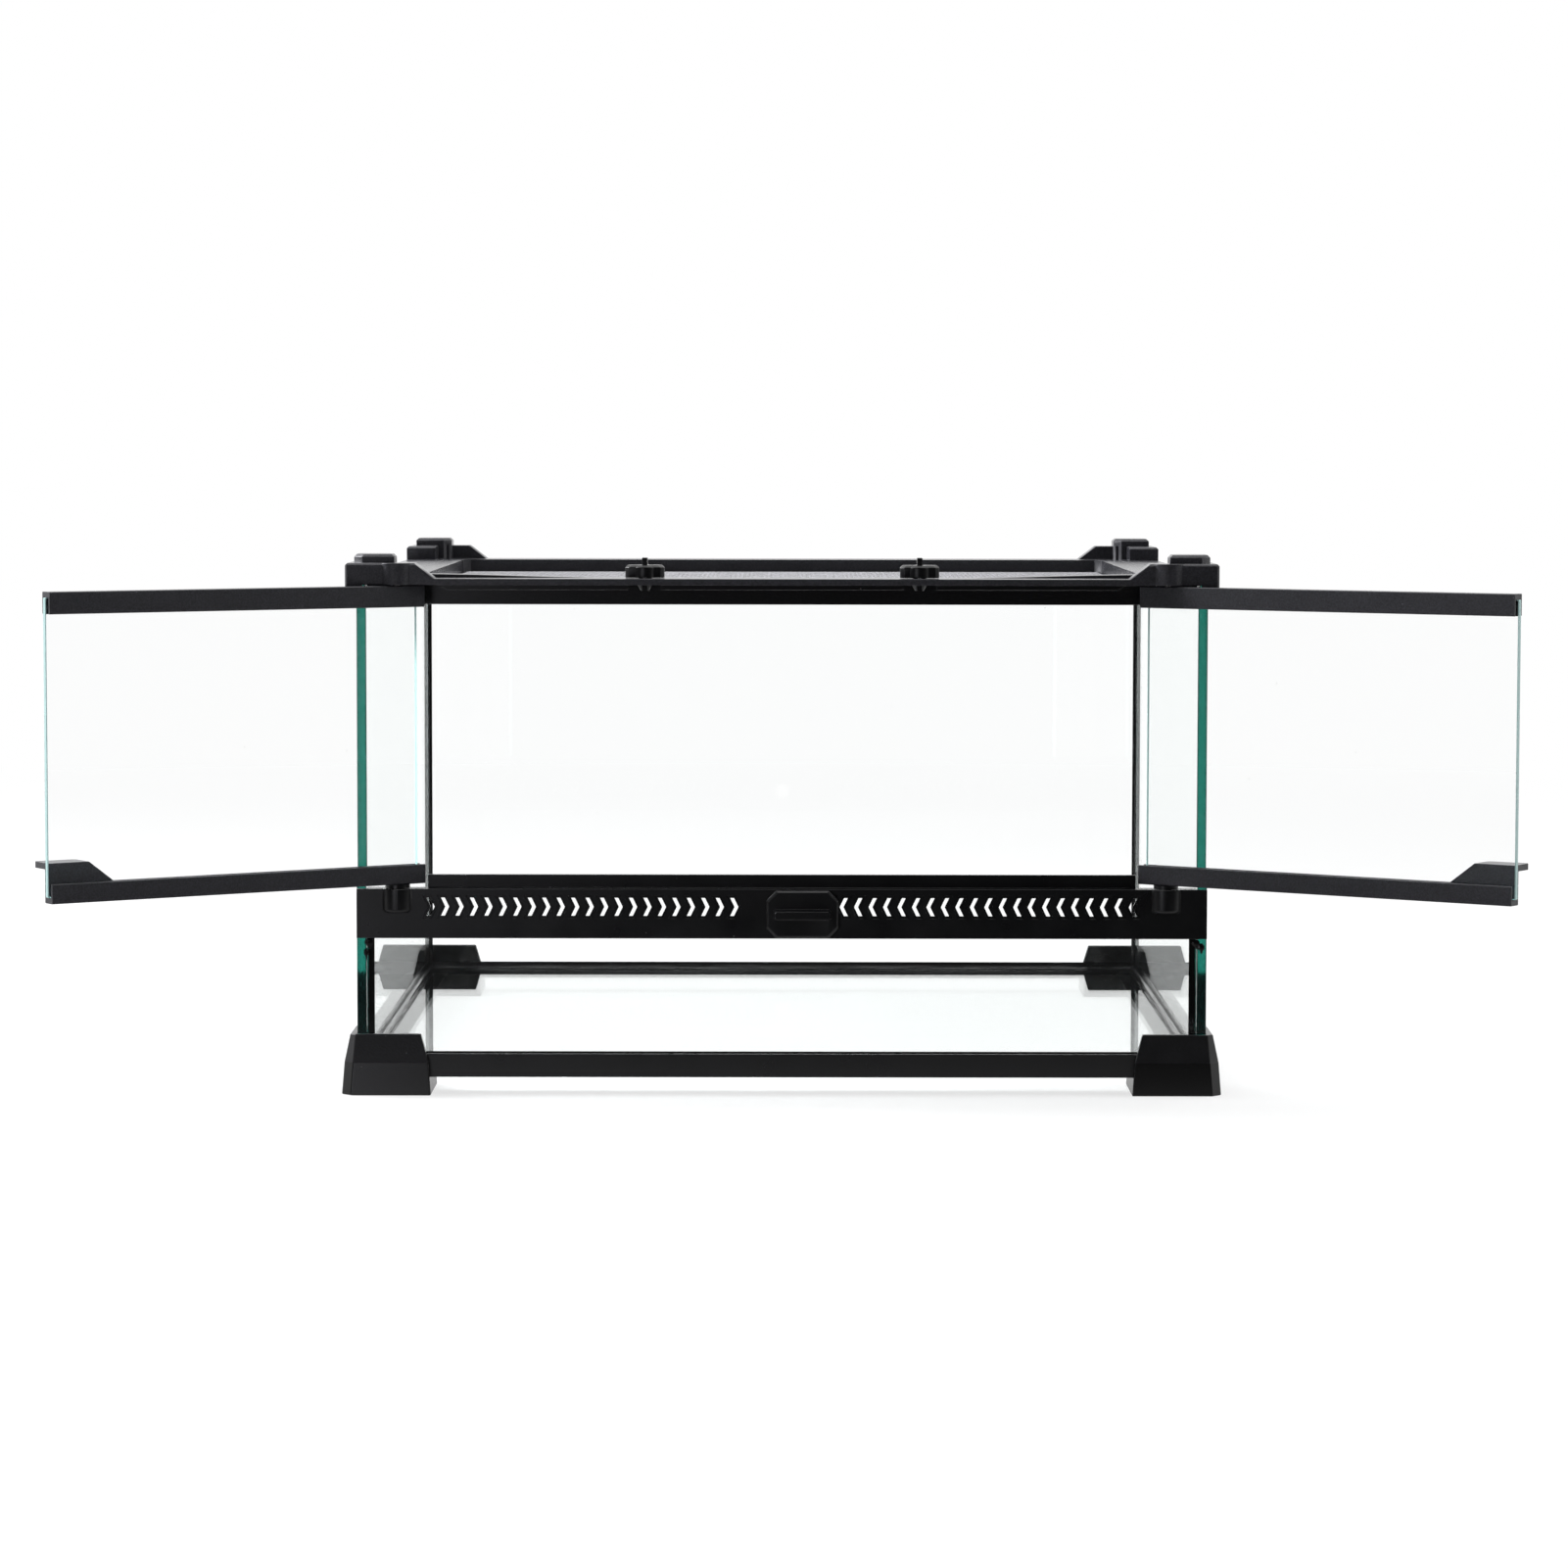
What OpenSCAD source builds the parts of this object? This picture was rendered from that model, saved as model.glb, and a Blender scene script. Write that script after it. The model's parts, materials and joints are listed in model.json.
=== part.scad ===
// Front-opening glass terrarium: a glass box on four moulded feet, with a vent strip over a low
// front pane, two hinged glass doors, a turn latch, a moulded top frame and a lift-out screen lid
// held by two quarter-turn locks. X is the width, the doors face -Y, and Z is up.
// The origin is the middle of the footprint, on the ground. Millimetres and degrees.

/* [Glass box] */
// Outside width of the glass box
box_w = 445; // [400:5:600]
// Outside depth of the glass box
box_d = 445; // [380:5:600]
// Height of the side and rear panes
wall_h = 254; // [230:1:400]
// Thickness of the panes of the box
pane_t = 5; // [4:0.5:6]
// Height of the low front pane
low_pane_h = 73.5; // [60:0.5:100]
// Leg of the silicone fillets along the floor and up the front corners
seam = 4; // [2:0.5:6]
// Leg of the silicone fillets up the rear corners
rear_seam = 2.3; // [1.5:0.1:5]
// Ground bevel on the upright edges of the glass
arris = 0.4; // [0.2:0.1:0.8]

/* [Base] */
// Height of the underside of the glass above the ground
ledge_z = 13; // [11:0.5:16]
// Thickness of the ledge that carries the glass
ledge_t = 4; // [3:0.1:4.5]
// Width of the base rails' ledge under the glass
ledge_w = 18; // [12:1:26]
// Height of the base rails' wall above the underside of the glass
rail_lip = 8.3; // [6:0.1:12]
// Thickness of the base rails' wall
rail_wall = 2.5; // [1.5:0.1:2.8]
// Length of rail end that sits inside a foot
rail_tuck = 12; // [6:1:20]
// Side of a foot at the ground
foot_w = 47; // [42:0.2:60]
// Height of a foot
foot_h = 31.8; // [26:0.2:45]
// Height of the crease where the feet start to slope
foot_crease = 17; // [15:0.5:20]
// How far a foot stands out from the glass at the ground
foot_out = 8; // [7:0.1:10]
// How far a foot stands out from the glass at the crease
foot_out_mid = 6.7; // [5:0.1:7]
// How far a foot stands out from the glass at its top
foot_out_top = 3.6; // [2.6:0.1:5]
// How much narrower the inner sides of a foot are at the crease
foot_lean_mid = 1.3; // [0:0.1:3]
// How much narrower the inner sides of a foot are at its top
foot_lean_top = 5.5; // [2:0.1:8]
// Chamfer of a foot's outer upright edge at the ground
foot_bevel = 5; // [2:0.5:7]
// Chamfer of a foot's outer upright edge at its top
foot_bevel_top = 3; // [1:0.5:5]
// Thickness of the inner walls of a hollow foot
foot_wall = 3; // [2:0.5:4]

/* [Vent strip] */
// Height of the strip
strip_h = 25.9; // [24:0.1:32]
// How far the strip stands in front of the glass
strip_t = 4; // [3.5:0.1:5]
// Thickness of the strip's walls
strip_wall = 2.2; // [1.6:0.1:3]
// Depth of the channel that holds the low front pane
strip_grip = 4.2; // [3:0.1:6]
// Gap at each end, between the strip and the outside of the glass
strip_end_gap = 0.2; // [0.1:0.1:1]
// Depth of the strip's top, from the glass front backwards
strip_top_d = 7.5; // [6:0.1:10]
// Height of the door stop above the strip
stop_h = 6.8; // [4:0.1:9]
// Thickness of the door stop
stop_t = 2.5; // [1.5:0.1:3]
// Vent slots on each side
slot_count = 22; // [4:1:22]
// Distance from one vent slot to the next
slot_pitch = 7.56; // [7.2:0.02:7.6]
// Height of a vent slot
slot_h = 9.5; // [6:0.1:10.6]
// Width of a vent slot's stroke
slot_stroke = 2; // [1.5:0.1:3]
// How far a vent slot's tip runs ahead of its ends
slot_apex = 2.3; // [1:0.1:3]
// Distance from the middle of the strip to the tip of the first slot
slot_inner = 22.7; // [16:0.1:24]
// Height of the slots' centre above the strip's bottom edge
slot_rise = 16.5; // [15:0.1:17]
// Width of the recess round each slot
slot_rim = 1.3; // [0.3:0.1:1.4]
// Depth of the recess round each slot
slot_rim_d = 0.8; // [0.3:0.1:1.2]

/* [Doors] */
// Angle by which the doors stand open, from closed
door_open = 146; // [100:0.5:148]
// Distance from the outside of the glass box to the hinge axis
hinge_in = 21.5; // [21:0.1:26]
// Thickness of a door
door_t = 8.5; // [8:0.1:9]
// Length of door beyond the hinge axis
door_stub = 14.4; // [10:0.1:15]
// Gap between the glass of the closed doors
door_gap = 1; // [0.6:0.1:4]
// Gap between the vent strip and the doors
door_lift = 2.2; // [1.2:0.1:4]
// Gap between the doors and the top frame
door_head = 0.6; // [0.4:0.1:2]
// Gap between the closed doors and their stops
stop_gap = 0.5; // [0.3:0.1:1.5]
// Thickness of the door glass
door_glass_t = 3; // [2.5:0.1:4]
// How far the glass stands out of the rails at the free end
glass_proud = 1; // [0:0.1:2]
// Thickness of the outer wall of the door rails
rail_outer = 2.6; // [1.8:0.1:3]
// Width of the channel that takes the glass
rail_slot = 4.3; // [4:0.1:4.5]
// Thickness of the door rails' web and closed end
rail_web = 3; // [2:0.1:4]
// Height of the bottom door rail
low_rail_h = 10; // [8:0.1:14]
// Height of the top door rail
top_rail_h = 11.2; // [8:0.1:14]
// Bevel along the edges of the door rails
rail_bevel = 0.4; // [0.2:0.1:0.7]
// Width of the door handle at its top
handle_w = 22.5; // [18:0.5:30]
// Width of the door handle at its foot
handle_foot_w = 36; // [32:0.5:44]
// Height of the door handle above the rail
handle_h = 10.2; // [8:0.1:14]
// Thickness of the handle's fin
fin_t = 3.2; // [2:0.1:4]
// How far the fin stands out of the door
fin_out = 13.5; // [6:0.1:16]
// Corner radius of the fin
fin_r = 3; // [1:0.5:5]

/* [Hinges] */
// Radius of the hinge pins
pin_r = 1.5; // [1.2:0.1:2]
// Radial running clearance of the hinge pins
pin_fit = 0.05; // [0.02:0.01:0.1]
// Length of pin inside a hinge boss
pin_depth = 7.5; // [5:0.1:7.6]
// Room between a pin's end and the bottom of its bore
pin_end_gap = 0.5; // [0.3:0.1:1]
// Radius of the hinge bosses
boss_r = 8.6; // [7:0.1:9]
// Height of the hinge bosses on the vent strip
boss_h = 12.5; // [10:0.1:14]
// Rounding of the bosses' lower edge
boss_round = 2; // [1:0.5:3]
// Radius of the hinge washers
washer_r = 6.5; // [4:0.1:7.5]

/* [Door latch] */
// Reach of the latch's short end from its pivot
latch_short = 8.1; // [7:0.1:12]
// Reach of the latch's long end from its pivot
latch_long = 29.6; // [26:0.1:31]
// Width of the latch plate
latch_w = 24.7; // [18:0.1:25]
// Thickness of the latch plate
latch_t = 3.5; // [2:0.1:5]
// Length of the latch plate's corner chamfers
latch_corner = 5; // [2:0.1:6]
// Bevel round the face of the latch plate
latch_bevel = 1; // [0.5:0.1:1.5]
// How far the grip stands out of the latch plate
grip_out = 6.5; // [4:0.1:9]
// Thickness of the grip's outer edge
grip_t = 4; // [2.5:0.1:6]
// Distance from the grip's ends to the ends of the latch plate
grip_end = 4.5; // [3:0.1:6]
// Draft of the grip on every side
grip_draft = 1.2; // [0.5:0.1:2]
// Corner chamfer of the grip
grip_corner = 1; // [0.5:0.1:1.5]
// Radius of the latch shaft
shaft_r = 3; // [2.5:0.1:3.5]
// Width of the bearing face round the screw head, on the strip and under the latch
bearing_rim = 1; // [0.5:0.1:1.5]
// Radius of the washer head of the latch screw
screw_head_r = 5; // [4:0.1:5.5]
// Thickness of the latch screw's head
screw_head_t = 2; // [1:0.1:3]
// Radius of the latch screw's shank
screw_r = 1.2; // [0.8:0.1:1.5]
// Length of shank inside the latch shaft
screw_grip = 4; // [2:0.1:5]

/* [Top frame] */
// How far the frame stands out from the glass
frame_out = 5; // [4.5:0.1:7]
// Width of the frame's members
frame_w = 31; // [29:0.5:38]
// Thickness of the frame's plate
frame_t = 3.2; // [3:0.1:5]
// Thickness of the frame's outer wall
frame_wall = 2.5; // [1.6:0.1:3]
// Depth of the outer wall below the plate
frame_drop = 10; // [6:0.1:15]
// Thickness of the skirt round the screen opening
skirt_t = 3; // [2:0.1:4]
// Depth of the skirt below the plate
skirt_drop = 11; // [8:0.1:16]
// Width of the rebate that takes the lid
rebate_w = 8.5; // [6:0.1:9]
// Depth of the rebate that takes the lid
rebate_d = 2; // [1.6:0.1:2.2]
// Distance between the locating ribs inside the outer wall
locator_pitch = 85; // [60:5:120]
// Thickness of the locating ribs
locator_t = 2; // [1:0.1:3]
// Depth of the door stop ribs under the front member
rib_h = 2.8; // [2:0.1:4]
// Thickness of the door stop ribs
rib_t = 3; // [2:0.1:4]
// Distance from the ends of the door stop ribs to the hinge axes
rib_end = 21; // [17:0.5:30]
// Half width of the gap in the door stop ribs at each lid lock
rib_gap = 8.7; // [6:0.1:12]
// Slope at the outer ends of the door stop ribs
rib_slope = 4.7; // [2:0.1:8]
// Width of the blocks that close the side channels at the front
cheek_w = 9; // [8:0.1:9.5]

/* [Corner blocks] */
// Height of the corner blocks above the frame
block_h = 8.1; // [6:0.1:12]
// Width of a block's arms
arm_w = 17.4; // [15:0.1:20]
// Length of a block's arms along their top
arm_len = 35.9; // [32:0.1:44]
// Length of the slope at the end of the arm along X
arm_slope = 10.6; // [6:0.1:14]
// Bevel of the blocks' upper edges and outer corner
block_bevel = 1.2; // [0.5:0.1:2]
// Side of a stacking lug
lug_w = 21.4; // [18:0.1:22]
// Height of a stacking lug
lug_h = 4.6; // [3:0.1:6]
// Distance from the outer faces of the frame to a lug
lug_in = 4.2; // [3.5:0.1:6]
// Chamfer of a lug's outer and inner corner
lug_corner = 4.7; // [3:0.1:6]
// Bevel of a lug's upper edges
lug_bevel = 1.5; // [0.5:0.1:2]
// Room round the lug inside the foot of a tank stacked on top
stack_gap = 1; // [0.5:0.1:1.5]

/* [Screen lid] */
// Thickness of the lid's flange
lid_t = 1.7; // [1.2:0.1:1.7]
// Room round the lid's flange in its rebate
lid_gap = 0.5; // [0.3:0.1:1]
// Thickness of the lid's tray wall
tray_wall = 2.5; // [1.5:0.1:3]
// Depth of the lid's tray below the top of its flange
tray_h = 9.1; // [7:0.1:14]
// Width of the ledge under the mesh
tray_lip_w = 3.5; // [2:0.1:6]
// Thickness of the ledge under the mesh
tray_lip_t = 1.2; // [0.8:0.1:2]
// How far the ledge under the mesh runs into the tray wall
tray_lip_root = 1; // [0.5:0.1:1.5]
// Corner chamfer inside the tray
tray_corner = 4; // [2:0.5:8]
// Thickness of the woven screen, two wires where they cross
mesh_t = 0.8; // [0.4:0.1:1]
// Openings along each side of the screen, which stand for its fine weave
mesh_cells = 12; // [4:1:12]
// Width of the screen's bars between the openings
mesh_bar = 3.6; // [2:0.1:6]

/* [Lid locks] */
// Distance from the middle of the front to each lock
lock_x = 71.8; // [40:0.1:120]
// Distance from the front of the glass back to the locks
lock_in = 10.5; // [9.6:0.1:11]
// Radius of a lock's hub
hub_r = 6.5; // [5:0.1:6.8]
// Length of a lock across both wings
wing_len = 20.4; // [18:0.1:21]
// Width of a lock's wings
wing_w = 9; // [6:0.1:11]
// Height of a lock's body
lock_h = 6.7; // [4:0.1:9]
// Corner chamfer of the wings
wing_corner = 2; // [1:0.1:3]
// Bevel round the top of the lock's body
lock_bevel = 1.3; // [0.5:0.1:2]
// Thickness of the finger fin
key_t = 2.8; // [2:0.1:4]
// Height of the finger fin above the body
key_h = 3.8; // [2:0.1:6]
// Radius of the lock's stem
stem_r = 3.4; // [2.5:0.1:4]
// Radial running clearance of stems and shafts
turn_fit = 0.08; // [0.02:0.01:0.1]
// Radius of the snap at the end of the prongs
snap_r = 4.1; // [4:0.1:4.5]
// Height of the snap
snap_h = 3; // [2:0.1:4]
// How much the prongs taper below the snap
snap_taper = 1; // [0.5:0.1:1.5]
// Width of the split between the prongs
prong_gap = 2.4; // [1:0.1:3]

/* [Clearances] */
// Gap between faces that move past each other
run_gap = 0.3; // [0.2:0.05:0.5]

/* [Hidden] */

$fn = 64;
HOLLOW = 1;          // how far a cutting tool runs past a face
BLACK = "#232225";
SATIN = "#17171a";
GLASS = [0.75, 0.9, 0.87, 0.35];

// Glass box
half_w = box_w / 2;
half_d = box_d / 2;
glass_top = ledge_z + wall_h;
floor_top = ledge_z + pane_t;
inner_w = half_w - pane_t;
inner_d = half_d - pane_t;

// Base
rail_z = ledge_z - ledge_t;
foot_in = foot_w - foot_out;      // how far a foot reaches inside the glass faces

// Vent strip
strip_z = ledge_z + low_pane_h - strip_grip;
strip_top = strip_z + strip_h;
strip_y = -half_d - strip_t;
strip_mid = strip_z + strip_h / 2;

// Doors
hinge_x = half_w - hinge_in;
hinge_y = strip_y + door_t / 2;
stop_y = strip_y + door_t + stop_gap;
door_z = strip_top + door_lift;
door_top = glass_top - door_head;
free_end = hinge_x - door_gap / 2;
face = door_t / 2;
glass_y = -face + rail_outer;
stub_r = norm([door_stub, face]);
stop_end = hinge_x - stub_r - stop_gap;

// Door latch
latch_y = strip_y - stop_gap;
latch_face = latch_y - latch_t;

// Top frame
frame_top = glass_top + frame_t;
rebate_z = frame_top - rebate_d;
block_top = frame_top + block_h;
lock_y = -half_d + lock_in;

// Screen lid: everything here is an inset from the outside of the glass box
opening_in = frame_w - frame_out;
rebate_in = opening_in - rebate_w;
flange_in = rebate_in + lid_gap;
tray_in = opening_in + run_gap;
tray_inner = tray_in + tray_wall;
tray_z = frame_top - tray_h;
mesh_z = tray_z + tray_lip_t;
lock_z = frame_top + run_gap;

// Corners of a rectangle whose four corners are cut by c
function cut_rect(x0, y0, x1, y1, c) = [
    [x0 + c, y0], [x1 - c, y0], [x1, y0 + c], [x1, y1 - c],
    [x1 - c, y1], [x0 + c, y1], [x0, y1 - c], [x0, y0 + c]
];

// Lifts a flat outline to height z
function at_z(points, z) = [for (p = points) [p[0], p[1], z]];

// Skins a stack of level rings that have the same number of points, all counter-clockwise
module loft(rings) {
    n = len(rings[0]);
    last = len(rings) - 1;
    sides = [
        for (k = [0:last - 1], i = [0:n - 1])
            [k * n + i, (k + 1) * n + i, (k + 1) * n + (i + 1) % n, k * n + (i + 1) % n]
    ];
    bottom = [for (i = [0:n - 1]) i];
    top = [for (i = [n - 1:-1:0]) last * n + i];
    polyhedron([for (ring = rings) each ring], concat([bottom], sides, [top]), 3);
}

// Extrudes an outline of (y, z) points from x0 to x1
module along_x(x0, x1) {
    translate([x0, 0, 0]) rotate([90, 0, 90]) linear_extrude(x1 - x0) children();
}

// Extrudes an outline of (x, z) points from y0 to y1
module along_y(y0, y1) {
    translate([0, y1, 0]) rotate([90, 0, 0]) linear_extrude(y1 - y0) children();
}

// A level ring between two insets from the outside of the glass box, cut by c at its corners
module ring(inset_out, inset_in, z0, z1, c_out, c_in) {
    translate([0, 0, z0]) linear_extrude(z1 - z0) difference() {
        box_outline(inset_out, c_out);
        box_outline(inset_in, c_in);
    }
}

module box_outline(inset, c) {
    polygon(cut_rect(inset - half_w, inset - half_d, half_w - inset, half_d - inset, c));
}

// Places a child drawn at the corner (+x, +y) at one of the four corners
module at_corner(side, end) {
    mirror([side < 0 ? 1 : 0, 0, 0]) mirror([0, end < 0 ? 1 : 0, 0]) children();
}

// ---------------------------------------------------------------- glass box

module pane(x0, y0, x1, y1, z, h) {
    color(GLASS) translate([0, 0, z]) linear_extrude(h) polygon(cut_rect(x0, y0, x1, y1, arris));
}

module floor_pane() {
    pane(-inner_w, -inner_d, inner_w, inner_d, ledge_z, pane_t);
}

module side_pane(side) {
    mirror([side < 0 ? 1 : 0, 0, 0]) pane(inner_w, -half_d, half_w, half_d, ledge_z, wall_h);
}

module rear_pane() {
    pane(-inner_w, inner_d, inner_w, half_d, ledge_z, wall_h);
}

module low_front_pane() {
    pane(-inner_w, -half_d, inner_w, -inner_d, ledge_z, low_pane_h);
}

// Cross-section of a tooled fillet in the corner at the origin
module fillet(leg) {
    difference() {
        square(leg);
        translate([leg, leg]) circle(r = leg);
    }
}

module silicone_seams() {
    color(SATIN) {
        for (side = [0, 1]) mirror([side, 0, 0]) {
            translate([-inner_w, 0, 0]) {
                along_y(-inner_d, inner_d) translate([0, floor_top]) fillet(seam);
                translate([0, -inner_d, floor_top]) linear_extrude(strip_z - floor_top) fillet(seam);
                translate([0, inner_d, floor_top]) mirror([0, 1, 0])
                    linear_extrude(glass_top - floor_top) fillet(rear_seam);
            }
        }
        for (end = [0, 1]) mirror([0, end, 0])
            along_x(-inner_w, inner_w) translate([-inner_d, floor_top]) fillet(seam);
    }
}

// ---------------------------------------------------------------- base

// Outline of a foot: how far it stands out, how far its inner sides lean, and its edge chamfer
function foot_outline(out, lean, bevel) =
    let (
        x0 = half_w - foot_in + lean, x1 = half_w + out,
        y0 = half_d - foot_in + lean, y1 = half_d + out
    ) [[x0, y0], [x1, y0], [x1, y1 - bevel], [x1 - bevel, y1], [x0, y1]];

module foot(side, end) {
    color(BLACK) at_corner(side, end) difference() {
        loft([
            at_z(foot_outline(foot_out, 0, foot_bevel), 0),
            at_z(foot_outline(foot_out_mid, foot_lean_mid, foot_bevel), foot_crease),
            at_z(foot_outline(foot_out_top, foot_lean_top, foot_bevel_top), foot_h)
        ]);
        translate([0, 0, ledge_z]) cube([half_w, half_d, foot_h]);
        foot_hollow();
        along_x(0, half_w - foot_in + rail_tuck) rail_outline(half_d);
        along_y(0, half_d - foot_in + rail_tuck) rail_outline(half_w);
    }
}

// The hollow under a foot, which takes the stacking lug of a tank below
module foot_hollow() {
    inner = foot_in - foot_wall;
    outer = frame_out - lug_in + stack_gap;
    translate([half_w - inner, half_d - inner, -HOLLOW])
        cube([inner + outer, inner + outer, rail_z + HOLLOW]);
}

// L-section of a base rail at distance d from the middle: a wall outside the glass, a ledge below
module rail_outline(d) {
    polygon([
        [d - ledge_w, rail_z], [d + rail_wall, rail_z], [d + rail_wall, ledge_z + rail_lip],
        [d, ledge_z + rail_lip], [d, ledge_z], [d - ledge_w, ledge_z]
    ]);
}

module base_rail_x(end) {
    reach = half_w - foot_in + rail_tuck;
    color(SATIN) mirror([0, end < 0 ? 1 : 0, 0]) along_x(-reach, reach) rail_outline(half_d);
}

module base_rail_y(side) {
    reach = half_d - foot_in + rail_tuck;
    color(SATIN) mirror([side < 0 ? 1 : 0, 0, 0]) along_y(-reach, reach) rail_outline(half_w);
}

// ---------------------------------------------------------------- vent strip

// A chevron in (x, z) whose tip points along +x, grown by rim on every side
module chevron(rim) {
    h = slot_h / 2 + rim;
    apex = slot_apex * h / (slot_h / 2);
    polygon([
        [rim, 0], [rim - apex, h], [-slot_stroke - rim - apex, h],
        [-slot_stroke - rim, 0], [-slot_stroke - rim - apex, -h], [rim - apex, -h]
    ]);
}

module vent_slots() {
    for (side = [0, 1], k = [0:slot_count - 1])
        mirror([side, 0, 0]) translate([-slot_inner - k * slot_pitch, 0, strip_z + slot_rise]) {
            along_y(strip_y - HOLLOW, -half_d) chevron(0);
            along_y(strip_y - HOLLOW, strip_y + slot_rim_d) chevron(slot_rim);
        }
}

// Section of the strip in (y, z): front wall, channel for the low pane, and top
module strip_section() {
    channel = strip_z + strip_grip;
    polygon([
        [strip_y, strip_z], [-half_d, strip_z], [-half_d, channel],
        [-inner_d, channel], [-inner_d, strip_z], [-inner_d + strip_wall, strip_z],
        [-inner_d + strip_wall, channel + strip_wall], [strip_y + strip_wall, channel + strip_wall],
        [strip_y + strip_wall, strip_top - strip_wall],
        [-half_d + strip_top_d, strip_top - strip_wall], [-half_d + strip_top_d, strip_top],
        [strip_y, strip_top]
    ]);
}

// A hinge boss on the strip, round below
module strip_boss() {
    translate([hinge_x, hinge_y, strip_top - boss_h]) rotate_extrude() {
        square([boss_r - boss_round, boss_round]);
        intersection() {
            translate([boss_r - boss_round, boss_round]) circle(r = boss_round);
            square([boss_r, boss_round]);
        }
        translate([0, boss_round]) square([boss_r, boss_h - boss_round]);
    }
}

module vent_strip() {
    reach = inner_w - strip_end_gap;
    end = half_w - strip_end_gap;
    color(SATIN) difference() {
        union() {
            along_x(-reach, reach) strip_section();
            translate([-end, strip_y, strip_z]) cube([2 * end, strip_t, strip_grip]);
            for (side = [0, 1]) mirror([side, 0, 0]) {
                translate([reach, strip_y, strip_z]) cube([end - reach, strip_t, strip_h]);
                strip_boss();
            }
            along_x(-stop_end, stop_end)
                translate([stop_y, strip_top - strip_wall]) square([stop_t, stop_h + strip_wall]);
            translate([0, strip_y, strip_mid]) rotate([-90, 0, 0])
                cylinder(r = screw_head_r + bearing_rim, h = strip_t);
        }
        vent_slots();
        for (side = [0, 1]) mirror([side, 0, 0]) hinge_bore(strip_top, -1);
        translate([0, strip_y - HOLLOW, strip_mid]) rotate([-90, 0, 0])
            cylinder(r = shaft_r + turn_fit, h = strip_t + 2 * HOLLOW);
    }
}

// Blind bore for a hinge pin, from the face at height z upwards or downwards
module hinge_bore(z, up) {
    depth = pin_depth + pin_end_gap;
    translate([hinge_x, hinge_y, up > 0 ? z - HOLLOW : z - depth])
        cylinder(r = pin_r + pin_fit, h = depth + HOLLOW);
}

// ---------------------------------------------------------------- doors

// Places a door drawn closed, with its hinge axis at the origin and its free end along -x
module at_hinge(side) {
    mirror([side < 0 ? 1 : 0, 0, 0]) translate([hinge_x, hinge_y, 0]) rotate([0, 0, door_open])
        children();
}

// Channel section in (y, z), open upwards, with its web at z = 0
module door_rail_section(h) {
    polygon([
        [-face + rail_bevel, 0], [face - rail_bevel, 0], [face, rail_bevel],
        [face, h - rail_bevel], [face - rail_bevel, h], [glass_y + rail_slot, h],
        [glass_y + rail_slot, rail_web], [glass_y, rail_web], [glass_y, h],
        [-face + rail_bevel, h], [-face, h - rail_bevel], [-face, rail_bevel]
    ]);
}

// A rail with its web at z = 0, closed at the hinge end and bored for the pin
module door_rail(h) {
    difference() {
        union() {
            along_x(glass_proud - free_end, door_stub) door_rail_section(h);
            translate([door_stub - rail_web, -face + rail_bevel, rail_bevel])
                cube([rail_web, door_t - 2 * rail_bevel, h - 2 * rail_bevel]);
        }
        translate([0, 0, -HOLLOW]) cylinder(r = pin_r, h = rail_web + HOLLOW);
    }
}

module door_bottom_rail(side) {
    color(BLACK) at_hinge(side) translate([0, 0, door_z]) door_rail(low_rail_h);
}

module door_top_rail(side) {
    color(BLACK) at_hinge(side) translate([0, 0, door_top]) mirror([0, 0, 1]) door_rail(top_rail_h);
}

module door_glass(side) {
    at_hinge(side)
        pane(-free_end, glass_y, door_stub - rail_web, glass_y + door_glass_t,
             door_z + rail_web, door_top - door_z - 2 * rail_web);
}

// Plate that stands on the outer wall of the bottom rail, with a fin to pull the door by
module door_handle(side) {
    end = glass_proud - free_end;
    foot_z = door_z + low_rail_h;
    top_z = foot_z + handle_h;
    color(BLACK) at_hinge(side) {
        along_y(-face, glass_y) polygon([
            [end, foot_z], [end + handle_foot_w, foot_z], [end + handle_w, top_z], [end, top_z]
        ]);
        translate([end, 0, top_z - fin_t]) linear_extrude(fin_t) difference() {
            translate([0, -face - fin_out]) square([handle_w, fin_out]);
            fin_corner(0, 0);
            fin_corner(handle_w, 1);
        }
    }
}

// What rounding a corner of the fin takes away
module fin_corner(x, flip) {
    translate([x, -face - fin_out]) mirror([flip, 0]) difference() {
        translate([-HOLLOW, -HOLLOW]) square(fin_r + HOLLOW);
        translate([fin_r, fin_r]) circle(r = fin_r);
    }
}

module hinge_pins(side) {
    color("silver") at_hinge(side) {
        translate([0, 0, strip_top - pin_depth])
            cylinder(r = pin_r, h = pin_depth + door_lift + rail_web);
        translate([0, 0, door_top - rail_web])
            cylinder(r = pin_r, h = rail_web + door_head + pin_depth);
    }
}

module hinge_washer(side) {
    color(SATIN) at_hinge(side) translate([0, 0, strip_top + run_gap]) difference() {
        cylinder(r = washer_r, h = door_lift - run_gap);
        translate([0, 0, -HOLLOW]) cylinder(r = pin_r, h = door_lift + 2 * HOLLOW);
    }
}

// ---------------------------------------------------------------- door latch

// The latch is drawn lying down, with its face up and its pivot at the origin, then stood up
module at_latch() {
    translate([0, latch_y, strip_mid]) rotate([90, 0, 0]) children();
}

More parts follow.
